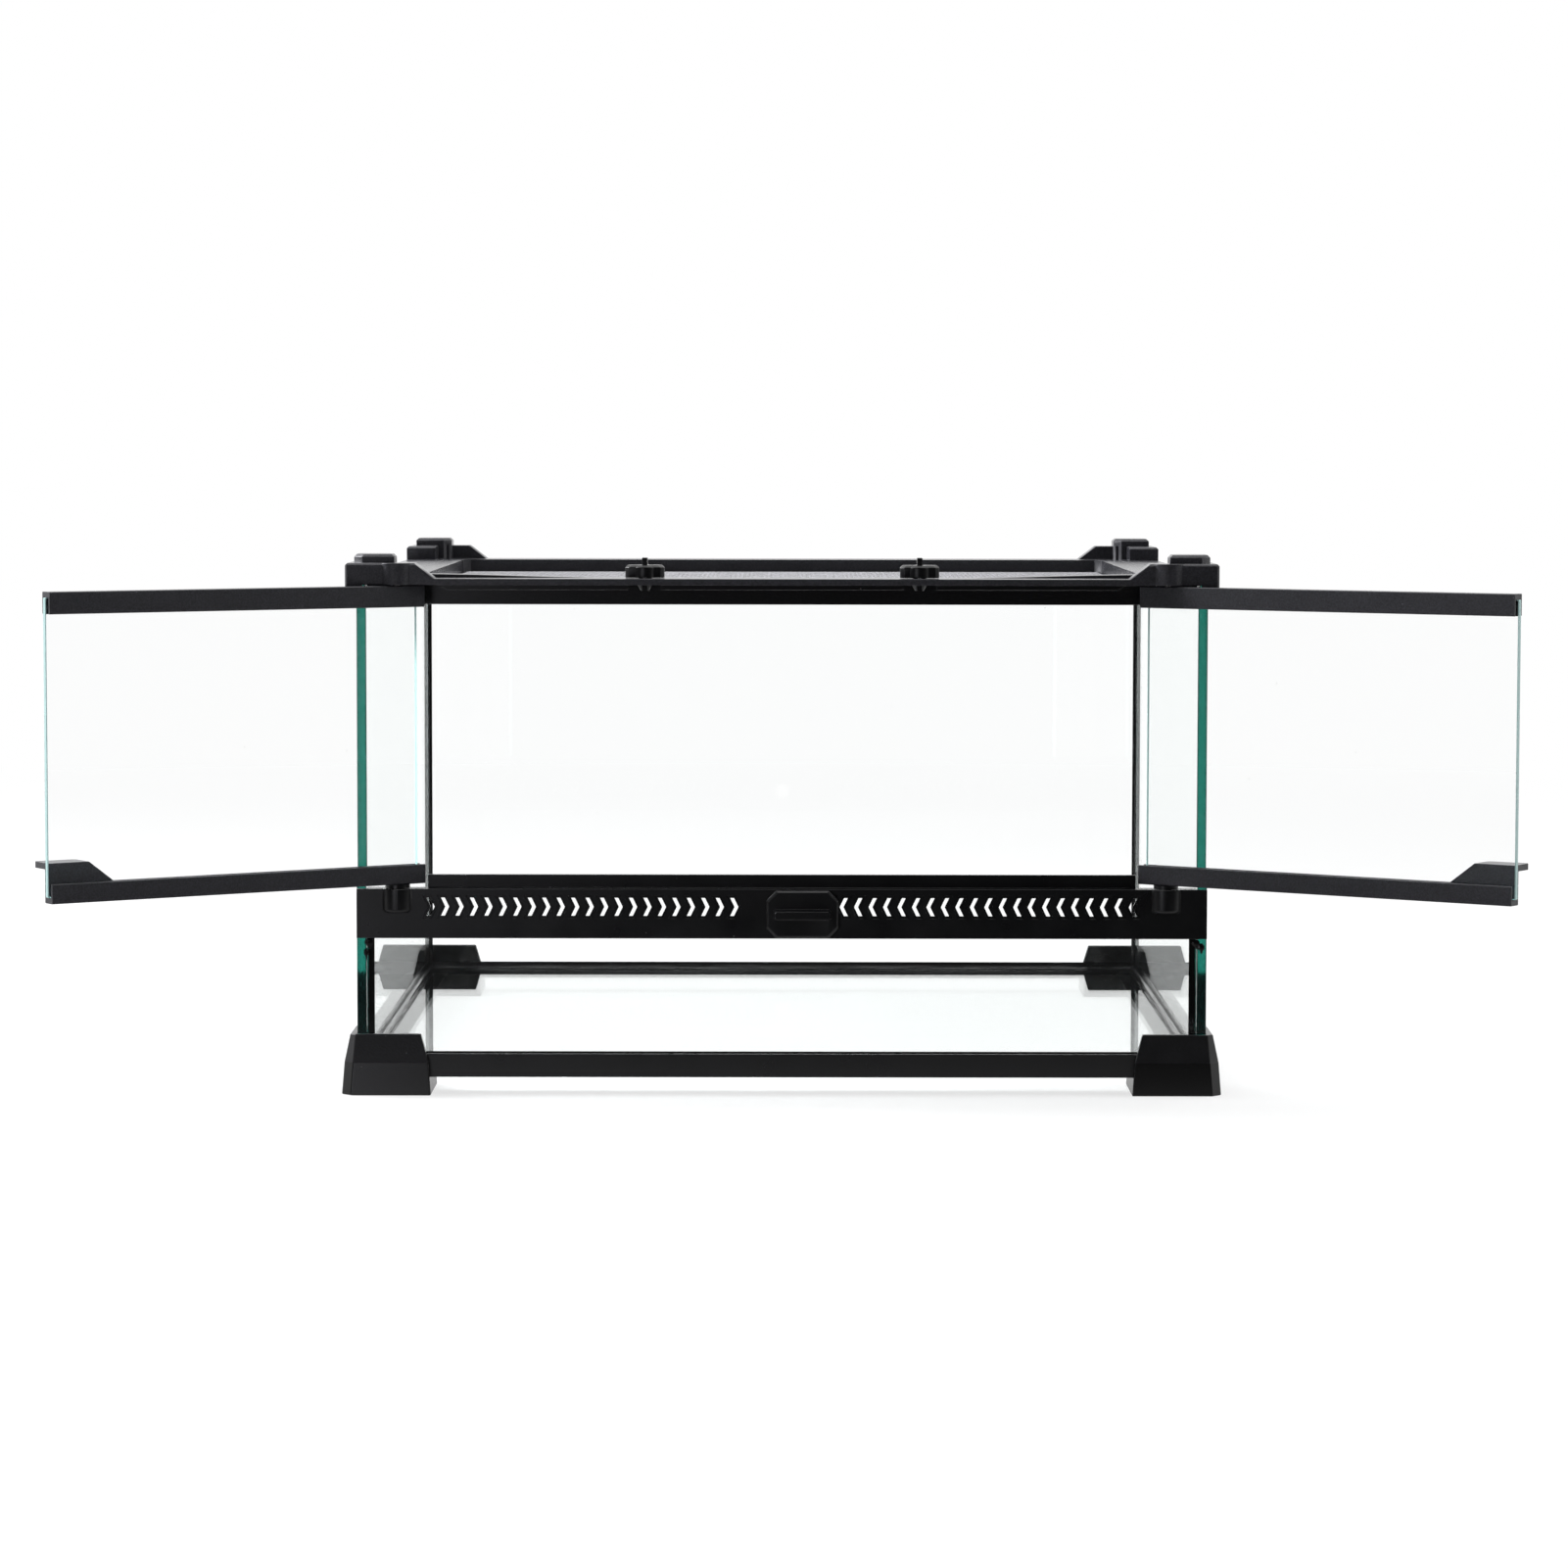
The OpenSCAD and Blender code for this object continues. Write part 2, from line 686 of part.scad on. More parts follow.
module door_latch() {
    rim = cut_rect(-latch_short, -latch_w / 2, latch_long, latch_w / 2, latch_corner);
    inner = cut_rect(latch_bevel - latch_short, latch_bevel - latch_w / 2,
                     latch_long - latch_bevel, latch_w / 2 - latch_bevel, latch_corner);
    grip_x0 = grip_end - latch_short;
    grip_x1 = latch_long - grip_end;
    foot_y = grip_t / 2 + grip_draft;
    color(SATIN) at_latch() difference() {
        union() {
            loft([at_z(rim, 0), at_z(rim, latch_t - latch_bevel), at_z(inner, latch_t)]);
            loft([
                at_z(cut_rect(grip_x0 - grip_draft, -foot_y, grip_x1 + grip_draft, foot_y,
                              grip_corner), 0),
                at_z(cut_rect(grip_x0, -grip_t / 2, grip_x1, grip_t / 2, grip_corner),
                     latch_t + grip_out)
            ]);
            translate([0, 0, run_gap - stop_gap])
                cylinder(r = screw_head_r + bearing_rim, h = latch_t);
            translate([0, 0, -stop_gap - strip_t - run_gap])
                cylinder(r = shaft_r, h = strip_t + stop_gap + run_gap + latch_t / 2);
        }
        translate([0, 0, -stop_gap - strip_t - run_gap - HOLLOW])
            cylinder(r = screw_r, h = screw_grip + HOLLOW);
    }
}

module latch_screw() {
    shaft_end = -stop_gap - strip_t - run_gap;
    color("silver") at_latch() {
        translate([0, 0, shaft_end - screw_head_t]) cylinder(r = screw_head_r, h = screw_head_t);
        translate([0, 0, shaft_end]) cylinder(r = screw_r, h = screw_grip);
    }
}

// ---------------------------------------------------------------- top frame

// Wall outside the glass on both sides and at the back, and the cheeks that close it at the front
module frame_walls() {
    z = glass_top - frame_drop;
    difference() {
        ring(-frame_out, frame_wall - frame_out, z, glass_top, block_bevel, 0);
        translate([frame_wall - half_w - frame_out, -half_d - frame_out - HOLLOW, z - HOLLOW])
            cube([2 * (half_w + frame_out - frame_wall), frame_out + HOLLOW, frame_drop + HOLLOW]);
    }
    for (side = [0, 1]) mirror([side, 0, 0])
        translate([half_w + frame_out - cheek_w, -half_d - frame_out, z])
            cube([cheek_w - block_bevel, frame_out, frame_drop]);
}

// Ribs that centre the frame on the glass
module locators() {
    z = glass_top - frame_drop;
    room = frame_out - frame_wall;
    count_y = floor((half_d - frame_w) / locator_pitch);
    count_x = floor((half_w - frame_w) / locator_pitch);
    for (k = [-count_y:count_y], side = [0, 1]) mirror([side, 0, 0])
        translate([half_w, k * locator_pitch - locator_t / 2, z]) cube([room, locator_t, frame_drop]);
    for (k = [-count_x:count_x])
        translate([k * locator_pitch - locator_t / 2, half_d, z]) cube([locator_t, room, frame_drop]);
}

// One stretch of door stop under the front member, with its ends sloped by s0 and s1
module stop_rib(x0, x1, s0, s1) {
    along_y(stop_y, stop_y + rib_t) polygon([
        [x0, glass_top], [x0 + s0, glass_top - rib_h], [x1 - s1, glass_top - rib_h], [x1, glass_top]
    ]);
}

module stop_ribs() {
    reach = hinge_x - rib_end;
    stop_rib(-reach, -lock_x - rib_gap, rib_slope, 0);
    stop_rib(-lock_x + rib_gap, lock_x - rib_gap, 0, 0);
    stop_rib(lock_x + rib_gap, reach, 0, rib_slope);
}

// Outline of a block at the corner (+x, +y), between the glass side faces and the frame's edge
function block_x(inset) = half_w + frame_out - inset;
function block_y(inset) = half_d + frame_out - inset;

module corner_block() {
    b = block_bevel;
    core = lug_in + lug_w;
    // arm along X, with a sloped end and a bevelled outer top edge
    intersection() {
        along_y(block_y(arm_w), block_y(0)) polygon([
            [block_x(arm_len + arm_slope), glass_top], [block_x(0), glass_top],
            [block_x(0), block_top - b], [block_x(b), block_top],
            [block_x(arm_len), block_top], [block_x(arm_len + arm_slope), frame_top]
        ]);
        along_x(0, block_x(-HOLLOW)) polygon([
            [block_y(arm_w), glass_top], [block_y(0), glass_top],
            [block_y(0), block_top - b], [block_y(b), block_top], [block_y(arm_w), block_top]
        ]);
    }
    // arm along Y, with an upright end, and the core under the lug
    intersection() {
        union() {
            along_x(block_x(arm_w), block_x(0)) polygon([
                [block_y(arm_len + arm_slope), glass_top], [block_y(0), glass_top],
                [block_y(0), block_top - b], [block_y(b), block_top],
                [block_y(arm_len + arm_slope) + b, block_top],
                [block_y(arm_len + arm_slope), block_top - b]
            ]);
            translate([0, 0, glass_top]) linear_extrude(block_h + frame_t) polygon([
                [block_x(core), block_y(arm_w)], [block_x(arm_w), block_y(arm_w)],
                [block_x(arm_w), block_y(core)], [block_x(core - lug_corner), block_y(core)],
                [block_x(core), block_y(core - lug_corner)]
            ]);
        }
        along_y(0, block_y(-HOLLOW)) polygon([
            [0, glass_top], [block_x(0), glass_top], [block_x(0), block_top - b],
            [block_x(b), block_top], [0, block_top]
        ]);
    }
}

module stacking_lug() {
    x0 = block_x(lug_in + lug_w);
    y0 = block_y(lug_in + lug_w);
    rim = lug_outline(x0, y0, lug_w, lug_corner);
    inner = lug_outline(x0 + lug_bevel, y0 + lug_bevel, lug_w - 2 * lug_bevel, lug_corner - lug_bevel / 2);
    loft([
        at_z(rim, block_top), at_z(rim, block_top + lug_h - lug_bevel), at_z(inner, block_top + lug_h)
    ]);
}

// A square from (x, y) with its outer and inner corners cut
function lug_outline(x, y, w, c) =
    [[x + c, y], [x + w, y], [x + w, y + w - c], [x + w - c, y + w], [x, y + w], [x, y + c]];

// Takes the outer upright corner off the whole frame
module corner_bevel() {
    z = glass_top - frame_drop - HOLLOW;
    translate([0, 0, z]) linear_extrude(block_top - z + lug_h) polygon([
        [block_x(block_bevel), block_y(-HOLLOW)], [block_x(block_bevel), block_y(0)],
        [block_x(0), block_y(block_bevel)], [block_x(-HOLLOW), block_y(block_bevel)],
        [block_x(-HOLLOW), block_y(-HOLLOW)]
    ]);
}

module top_frame() {
    color(BLACK) difference() {
        union() {
            ring(-frame_out, opening_in, glass_top, frame_top, 0, 0);
            ring(opening_in - skirt_t, opening_in, glass_top - skirt_drop, glass_top, 0, 0);
            frame_walls();
            locators();
            stop_ribs();
            for (side = [-1, 1], end = [-1, 1]) at_corner(side, end) {
                corner_block();
                stacking_lug();
            }
            for (side = [0, 1]) mirror([side, 0, 0])
                translate([hinge_x, hinge_y, glass_top]) cylinder(r = boss_r, h = frame_t + block_h);
        }
        for (side = [-1, 1], end = [-1, 1]) at_corner(side, end) corner_bevel();
        ring(rebate_in, opening_in + HOLLOW, rebate_z, frame_top + block_h, 0, 0);
        for (side = [0, 1]) mirror([side, 0, 0]) {
            hinge_bore(glass_top, 1);
            translate([lock_x, lock_y, glass_top - HOLLOW])
                cylinder(r = stem_r + turn_fit, h = frame_t + 2 * HOLLOW);
        }
    }
}

// ---------------------------------------------------------------- screen lid

module lid_frame() {
    color(BLACK) {
        ring(flange_in, tray_inner, frame_top - lid_t, frame_top, 0, tray_corner);
        ring(tray_in, tray_inner, tray_z, frame_top - lid_t, 0, tray_corner);
        ring(tray_inner - tray_lip_root, tray_inner + tray_lip_w, tray_z, mesh_z,
             tray_corner, tray_corner);
    }
}

module lid_mesh() {
    x0 = tray_inner + tray_lip_w - half_w;      // the openings lie inside the ledge under the mesh
    y0 = tray_inner + tray_lip_w - half_d;
    step_x = -2 * x0 / mesh_cells;
    step_y = -2 * y0 / mesh_cells;
    color("dimgray") translate([0, 0, mesh_z]) linear_extrude(mesh_t) difference() {
        box_outline(tray_inner, tray_corner);
        for (i = [0:mesh_cells - 1], k = [0:mesh_cells - 1])
            translate([x0 + i * step_x + mesh_bar / 2, y0 + k * step_y + mesh_bar / 2])
                square([step_x - mesh_bar, step_y - mesh_bar]);
    }
}

// ---------------------------------------------------------------- lid locks

module lid_lock(side) {
    body = cut_rect(-wing_len / 2, -wing_w / 2, wing_len / 2, wing_w / 2, wing_corner);
    crown = cut_rect(lock_bevel - wing_len / 2, lock_bevel - wing_w / 2,
                     wing_len / 2 - lock_bevel, wing_w / 2 - lock_bevel, wing_corner);
    under = lock_z - glass_top + run_gap;     // from the body's underside to below the frame
    key = [hub_r - lock_bevel, key_t / 2];
    color(BLACK) translate([side * lock_x, lock_y, lock_z]) {
        loft([at_z(body, 0), at_z(body, lock_h - lock_bevel), at_z(crown, lock_h)]);
        rotate_extrude() polygon([
            [0, 0], [hub_r, 0], [hub_r, lock_h - lock_bevel], [hub_r - lock_bevel, lock_h], [0, lock_h]
        ]);
        translate([-key[1], -key[0], lock_h]) cube([key_t, 2 * key[0], key_h]);
        difference() {
            rotate_extrude() polygon([
                [0, 0], [stem_r, 0], [stem_r, -under], [snap_r, -under],
                [stem_r - snap_taper, -under - snap_h], [0, -under - snap_h]
            ]);
            translate([-prong_gap / 2, -snap_r - HOLLOW, -under - snap_h - HOLLOW])
                cube([prong_gap, 2 * (snap_r + HOLLOW), under + snap_h + HOLLOW]);
        }
    }
}

floor_pane();
side_pane(-1);  // left_pane
side_pane(1);  // right_pane
rear_pane();
low_front_pane();
silicone_seams();
foot(-1, -1);  // foot_front_left
foot(1, -1);  // foot_front_right
foot(-1, 1);  // foot_rear_left
foot(1, 1);  // foot_rear_right
base_rail_x(-1);  // base_rail_front
base_rail_x(1);  // base_rail_rear
base_rail_y(-1);  // base_rail_left
base_rail_y(1);  // base_rail_right
vent_strip();
top_frame();
door_glass(-1);  // left_door_glass
door_top_rail(-1);  // left_door_top_rail
door_bottom_rail(-1);  // left_door_bottom_rail
door_handle(-1);  // left_door_handle
hinge_pins(-1);  // left_hinge_pins
hinge_washer(-1);  // left_hinge_washer
door_glass(1);  // right_door_glass
door_top_rail(1);  // right_door_top_rail
door_bottom_rail(1);  // right_door_bottom_rail
door_handle(1);  // right_door_handle
hinge_pins(1);  // right_hinge_pins
hinge_washer(1);  // right_hinge_washer
door_latch();
latch_screw();
lid_frame();
lid_mesh();
lid_lock(-1);  // lid_lock_left
lid_lock(1);  // lid_lock_right
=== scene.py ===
import json
import math

import bpy
from mathutils import Matrix, Vector

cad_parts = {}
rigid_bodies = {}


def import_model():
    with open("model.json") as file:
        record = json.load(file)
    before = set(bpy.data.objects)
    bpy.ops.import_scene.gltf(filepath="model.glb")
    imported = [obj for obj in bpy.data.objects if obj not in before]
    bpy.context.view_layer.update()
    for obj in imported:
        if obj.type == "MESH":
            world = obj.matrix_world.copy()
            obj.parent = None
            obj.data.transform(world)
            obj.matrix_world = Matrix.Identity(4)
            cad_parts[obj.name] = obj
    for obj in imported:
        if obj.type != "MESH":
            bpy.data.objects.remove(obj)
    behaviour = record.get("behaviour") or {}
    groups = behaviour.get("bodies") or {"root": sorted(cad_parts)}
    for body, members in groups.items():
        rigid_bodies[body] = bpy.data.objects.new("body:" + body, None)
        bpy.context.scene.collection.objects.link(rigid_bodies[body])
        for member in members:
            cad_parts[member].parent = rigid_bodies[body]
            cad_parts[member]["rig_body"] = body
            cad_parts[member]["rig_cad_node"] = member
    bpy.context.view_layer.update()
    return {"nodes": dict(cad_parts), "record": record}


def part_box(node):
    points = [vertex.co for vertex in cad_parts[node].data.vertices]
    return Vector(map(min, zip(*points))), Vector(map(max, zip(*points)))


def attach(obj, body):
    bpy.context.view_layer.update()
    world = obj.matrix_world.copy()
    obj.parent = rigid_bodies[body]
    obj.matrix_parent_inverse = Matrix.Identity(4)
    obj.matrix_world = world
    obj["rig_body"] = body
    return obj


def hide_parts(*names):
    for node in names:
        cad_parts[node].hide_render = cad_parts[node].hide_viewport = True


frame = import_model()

MM = 0.001              # metres
BODY_OF = {
    node: body
    for body, nodes in frame["record"]["behaviour"]["bodies"].items()
    for node in nodes
}

# Sizes that new pieces share with the CAD, in millimetres
HINGE_X = 201.0         # hinge axis of a door, to either side of the middle
HINGE_Y = -222.25
DOOR_OPEN = 146.0       # degrees from closed to the pose at rest
DOOR_FREE = 200.5       # free end of the door glass from the hinge axis
DOOR_FIXED = 11.4       # hinge end of the door glass from the hinge axis
DOOR_GLASS_Y = (-1.65, 1.35)    # faces of the door glass from the hinge axis, when closed
BOND = 0.25             # black silicone film between two panes
FLOOR_TOP = 18.2        # upper face of the floor glass
WALL_INSIDE = 217.3     # inner face of a side pane, at the silicone
FRAME_POLISHED_AND_SHADED = 266.8  # height below which the top frame's mould is polished, and its colour darker as painted shade in the band recessed under the lip
FOOT_CREASE = 17.2      # height of the crease on a foot, below which it is polished and its colour darker

# The camera
LENS = 109.4            # millimetres, on a 36 mm sensor
EYE = (0.00107, -2.7058, 0.3398)    # metres
DOWN = 4.07             # degrees below level
ROLL = 0.08             # degrees


# ------------------------------------------------------------------ helpers

def linear(colour):
    """An sRGB hex colour as linear RGBA."""
    parts = [int(colour[i:i + 2], 16) / 255 for i in (1, 3, 5)]
    return [p / 12.92 if p <= 0.04045 else ((p + 0.055) / 1.055) ** 2.4 for p in parts] + [1.0]


def add(tree, kind, inputs=None, **settings):
    """Adds a node with its settings; each input is a value or the socket that feeds it."""
    node = tree.nodes.new(kind)
    for name, value in settings.items():
        setattr(node, name, value)
    for name, value in (inputs or {}).items():
        if isinstance(value, bpy.types.NodeSocket):
            tree.links.new(value, node.inputs[name])
        else:
            node.inputs[name].default_value = value
    return node


def new_material(name):
    """An empty node material and its tree."""
    material = bpy.data.materials.new(name)
    material.use_nodes = True
    material.node_tree.nodes.clear()
    return material, material.node_tree


def only(piece):
    """Makes a piece the one selected and active object."""
    if bpy.context.object and bpy.context.object.mode != "OBJECT":
        bpy.ops.object.mode_set(mode="OBJECT")
    bpy.ops.object.select_all(action="DESELECT")
    piece.select_set(True)
    bpy.context.view_layer.objects.active = piece


def settle(piece):
    """Puts a piece's place, turn and size into its mesh, so that its object sits at the origin."""
    only(piece)
    bpy.ops.object.transform_apply(location=True, rotation=True, scale=True)


def begin(name):
    """Names the primitive just added, and settles it."""
    piece = bpy.context.object
    piece.name = piece.data.name = name
    settle(piece)
    return piece


def pick(piece, kind, wanted):
    """In edit mode, selects just the faces, edges or vertices that wanted() accepts."""
    bpy.ops.object.mode_set(mode="EDIT")
    bpy.ops.mesh.select_mode(type=kind)
    bpy.ops.mesh.select_all(action="DESELECT")
    bpy.ops.object.mode_set(mode="OBJECT")
    mesh = piece.data
    items = {"FACE": mesh.polygons, "EDGE": mesh.edges, "VERT": mesh.vertices}[kind]
    for item in items:
        item.select = wanted(item)
    bpy.ops.object.mode_set(mode="EDIT")


def finish_with(piece, kind, **settings):
    """Adds a modifier and applies it."""
    only(piece)
    modifier = piece.modifiers.new(kind.lower(), kind)
    for name, value in settings.items():
        setattr(modifier, name, value)
    bpy.ops.object.modifier_apply(modifier=modifier.name)


def smooth(piece, degrees):
    """Shades a piece smooth, but for the edges sharper than the angle."""
    only(piece)
    bpy.ops.object.shade_smooth_by_angle(angle=math.radians(degrees))


def fit_out(piece, body, material, nodes=()):
    """Gives a finished piece its material and body, and hides the CAD nodes it stands for."""
    piece.data.materials.clear()
    piece.data.materials.append(material)
    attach(piece, body)
    if nodes:
        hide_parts(*nodes)


def seen_directly(tree):
    """1 where the backdrop is seen by itself or through glass, and 0 where it lights or is
    mirrored in the object. With it, how bright it is: 1, and more by what each face of a pane
    takes away, so that it is white through glass too."""
    path = add(tree, "ShaderNodeLightPath")
    bounced = add(tree, "ShaderNodeMath", {0: path.outputs["Diffuse Depth"],
                                           1: path.outputs["Glossy Depth"]}, operation="ADD")
    straight = add(tree, "ShaderNodeMath", {0: bounced.outputs[0], 1: 0.5}, operation="LESS_THAN")
    through = add(tree, "ShaderNodeMath", {0: path.outputs["Is Transmission Ray"],
                                           1: straight.outputs[0]}, operation="MULTIPLY")
    seen = add(tree, "ShaderNodeMath", {0: path.outputs["Is Camera Ray"], 1: through.outputs[0]},
               operation="MAXIMUM")
    faces = path.outputs["Transmission Depth"]
    made_up = 0.016     # times the square of the number of faces that the ray has passed
    square = add(tree, "ShaderNodeMath", {0: faces, 1: faces}, operation="MULTIPLY")
    shine = add(tree, "ShaderNodeMath", {0: square.outputs[0], 1: made_up, 2: 1.0},
                operation="MULTIPLY_ADD")
    return path, seen.outputs[0], shine.outputs[0]


# ------------------------------------------------------------------ materials

def moulded_abs(name, dark, light, roughness, grain, depth, smooth_and_darker_below=None):
    """Injection-moulded black ABS: a near-black skin whose grain, spark-eroded into the mould,
    breaks up the highlights, with painted light on the crowns of the grain and painted shade in
    its pits. Seen along the surface, only the crowns of the grain show, and it mirrors. Grain, its
    depth, and the height below which the mould was polished and the colour is darker are in mm."""
    material, tree = new_material(name)
    place = add(tree, "ShaderNodeTexCoord").outputs["Object"]
    # Slow change of tone where the melt cooled unevenly, over about 45 mm
    flow = add(tree, "ShaderNodeTexNoise",
               {"Vector": place, "Scale": 1 / (45 * MM), "Detail": 3.0})
    # Grain of the mould, drawn at the size given
    skin = add(tree, "ShaderNodeTexNoise",
               {"Vector": place, "Scale": 1 / (grain * MM), "Detail": 2.0, "Roughness": 0.6})
    tone = add(tree, "ShaderNodeMix", {0: flow.outputs["Fac"], 6: linear(dark), 7: linear(light)},
               data_type="RGBA")
    # Painted light: the crowns of the grain are painted lighter and its pits darker, as crowns
    # catch more light than pits
    crown = add(tree, "ShaderNodeMapRange",
                {"Value": skin.outputs["Fac"], "From Min": 0.35, "From Max": 0.75,
                 "To Min": 0.65, "To Max": 1.5})
    colour = add(tree, "ShaderNodeVectorMath",
                 {0: tone.outputs[2], "Scale": crown.outputs["Result"]}, operation="SCALE")
    # How open the grain is: none of it shows along the surface or where the mould was polished
    along = add(tree, "ShaderNodeLayerWeight", {"Blend": 0.5})
    flat = add(tree, "ShaderNodeMapRange",
               {"Value": along.outputs["Facing"], "From Min": 0.78, "From Max": 0.95,
                "To Min": 1.0, "To Max": 0.0})
    open_grain = flat.outputs["Result"]
    shade = colour.outputs["Vector"]
    if smooth_and_darker_below is not None:
        height = add(tree, "ShaderNodeSeparateXYZ", {0: place})
        textured = add(tree, "ShaderNodeMapRange",
                       {"Value": height.outputs["Z"], "From Min": (smooth_and_darker_below - 0.3) * MM,
                        "From Max": (smooth_and_darker_below + 0.3) * MM, "To Min": 0.12, "To Max": 1.0})
        both = add(tree, "ShaderNodeMath", {0: open_grain, 1: textured.outputs["Result"]},
                   operation="MULTIPLY")
        open_grain = both.outputs[0]
        # Below that height the colour is darker too; on the top frame this is painted shade in the
        # band recessed under the lip
        darker = add(tree, "ShaderNodeVectorMath",
                     {0: shade, "Scale": textured.outputs["Result"]}, operation="SCALE")
        shade = darker.outputs["Vector"]
    # Lint and dust: specks about 0.4 mm across, one to every 14 mm or so
    cells = add(tree, "ShaderNodeTexVoronoi", {"Vector": place, "Scale": 1 / (14 * MM)})
    speck = add(tree, "ShaderNodeMapRange",
                {"Value": cells.outputs["Distance"], "From Min": 0.012, "From Max": 0.03,
                 "To Min": 0.55, "To Max": 0.0})
    dusty = add(tree, "ShaderNodeMix",
                {0: speck.outputs["Result"], 6: shade, 7: linear("#8f8d8a")},
                data_type="RGBA")
    # Handled plastic is polished in patches of about 18 mm
    patch = add(tree, "ShaderNodeTexNoise",
                {"Vector": place, "Scale": 1 / (18 * MM), "Detail": 2.0})
    handled = add(tree, "ShaderNodeMapRange",
                  {"Value": patch.outputs["Fac"], "From Min": 0.3, "From Max": 0.7,
                   "To Min": roughness - 0.06, "To Max": roughness + 0.06})
    rough = add(tree, "ShaderNodeMapRange",
                {"Value": open_grain, "To Min": 0.24, "To Max": handled.outputs["Result"]})
    bump = add(tree, "ShaderNodeBump",
               {"Strength": open_grain, "Distance": depth * MM, "Height": skin.outputs["Fac"]})
    skin_shader = add(tree, "ShaderNodeBsdfPrincipled",
                      {"Base Color": dusty.outputs[2], "Roughness": rough.outputs["Result"],
                       "IOR": 1.5, "Normal": bump.outputs["Normal"]})
    add(tree, "ShaderNodeOutputMaterial", {"Surface": skin_shader.outputs["BSDF"]})
    return material


def float_glass(name, absorbed, density, edge_tint, edge_clear):
    """Soda-lime float glass with ground edges: clear through its faces, green along its length
    from the iron in it, and frosted where the edge was ground, which lets through the share
    of the light given."""
    material, tree = new_material(name)
    place = add(tree, "ShaderNodeTexCoord").outputs["Object"]
    edge = add(tree, "ShaderNodeAttribute", attribute_name="ground_edge").outputs["Fac"]
    # Dust on the faces: specks about 0.5 mm across, one to every 22 mm or so
    cells = add(tree, "ShaderNodeTexVoronoi", {"Vector": place, "Scale": 1 / (22 * MM)})
    speck = add(tree, "ShaderNodeMapRange",
                {"Value": cells.outputs["Distance"], "From Min": 0.008, "From Max": 0.02,
                 "To Min": 0.6, "To Max": 0.0})
    clean = add(tree, "ShaderNodeMix",
                {0: speck.outputs["Result"], 6: (1, 1, 1, 1), 7: linear("#77756f")},
                data_type="RGBA")
    face = add(tree, "ShaderNodeBsdfPrincipled",
               {"Base Color": clean.outputs[2], "Roughness": 0.0, "IOR": 1.52,
                "Transmission Weight": 1.0})
    # Grinding leaves fine scratches across the edge, about 0.3 mm apart
    scratch = add(tree, "ShaderNodeTexNoise", {"Vector": place, "Scale": 1 / (0.9 * MM)})
    tint = add(tree, "ShaderNodeMix",
               {0: scratch.outputs["Fac"], 6: linear(edge_tint[0]), 7: linear(edge_tint[1])},
               data_type="RGBA")
    frost = add(tree, "ShaderNodeBsdfPrincipled",
                {"Base Color": tint.outputs[2], "Roughness": 0.08, "IOR": 1.52,
                 "Transmission Weight": edge_clear})
    body = add(tree, "ShaderNodeMixShader",
               {0: edge, 1: face.outputs["BSDF"], 2: frost.outputs["BSDF"]})
    # Lamps shine straight through a pane
    clear = add(tree, "ShaderNodeBsdfTransparent", {"Color": (0.93, 0.95, 0.945, 1)})
    path = add(tree, "ShaderNodeLightPath")
    through = add(tree, "ShaderNodeMixShader",
                  {0: path.outputs["Is Shadow Ray"], 1: body.outputs["Shader"],
                   2: clear.outputs["BSDF"]})
    iron = add(tree, "ShaderNodeVolumeAbsorption",
               {"Color": linear(absorbed), "Density": density})
    add(tree, "ShaderNodeOutputMaterial",
        {"Surface": through.outputs["Shader"], "Volume": iron.outputs["Volume"]})
    return material


def tooled_silicone(name):
    """Black acetoxy silicone sealant, drawn along its seam with a finger: glossy, with long drag
    marks that run the way the bead runs."""
    material, tree = new_material(name)
    place = add(tree, "ShaderNodeTexCoord").outputs["Object"]
    axes = add(tree, "ShaderNodeSeparateXYZ", {0: place})
    # Beads on the floor run along X or Y, whichever wall they are nearer to; the rest run along Z
    from_x = add(tree, "ShaderNodeMath", {0: axes.outputs["X"]}, operation="ABSOLUTE")
    from_y = add(tree, "ShaderNodeMath", {0: axes.outputs["Y"]}, operation="ABSOLUTE")
    along_y = add(tree, "ShaderNodeMath", {0: from_x.outputs[0], 1: from_y.outputs[0]},
                  operation="GREATER_THAN")
    upright = add(tree, "ShaderNodeMath", {0: axes.outputs["Z"], 1: 26 * MM},
                  operation="GREATER_THAN")
    # Drag marks about 1.5 mm across and 60 mm long
    short, length = 1 / (1.5 * MM), 1 / (60 * MM)
    floor_run = add(tree, "ShaderNodeMix",
                    {0: along_y.outputs[0], 4: (length, short, short), 5: (short, length, short)},
                    data_type="VECTOR")
    run = add(tree, "ShaderNodeMix",
              {0: upright.outputs[0], 4: floor_run.outputs[1], 5: (short, short, length)},
              data_type="VECTOR")
    drawn = add(tree, "ShaderNodeVectorMath", {0: place, 1: run.outputs[1]}, operation="MULTIPLY")
    drag = add(tree, "ShaderNodeTexNoise",
               {"Vector": drawn.outputs["Vector"], "Scale": 1.0, "Detail": 2.0})
    # Lumps left where the finger paused, about 7 mm apart
    lumps = add(tree, "ShaderNodeTexNoise",
                {"Vector": place, "Scale": 1 / (7 * MM), "Detail": 3.0})
    height = add(tree, "ShaderNodeMath", {0: lumps.outputs["Fac"], 1: 0.3, 2: drag.outputs["Fac"]},
                 operation="MULTIPLY_ADD")
    tone = add(tree, "ShaderNodeMix",
               {0: lumps.outputs["Fac"], 6: linear("#060607"), 7: linear("#121214")},
               data_type="RGBA")
    bump = add(tree, "ShaderNodeBump",
               {"Strength": 1.0, "Distance": 0.35 * MM, "Height": height.outputs[0]})
    shader = add(tree, "ShaderNodeBsdfPrincipled",
                 {"Base Color": tone.outputs[2], "Roughness": 0.12, "IOR": 1.41,
                  "Normal": bump.outputs["Normal"]})
    add(tree, "ShaderNodeOutputMaterial", {"Surface": shader.outputs["BSDF"]})
    return material


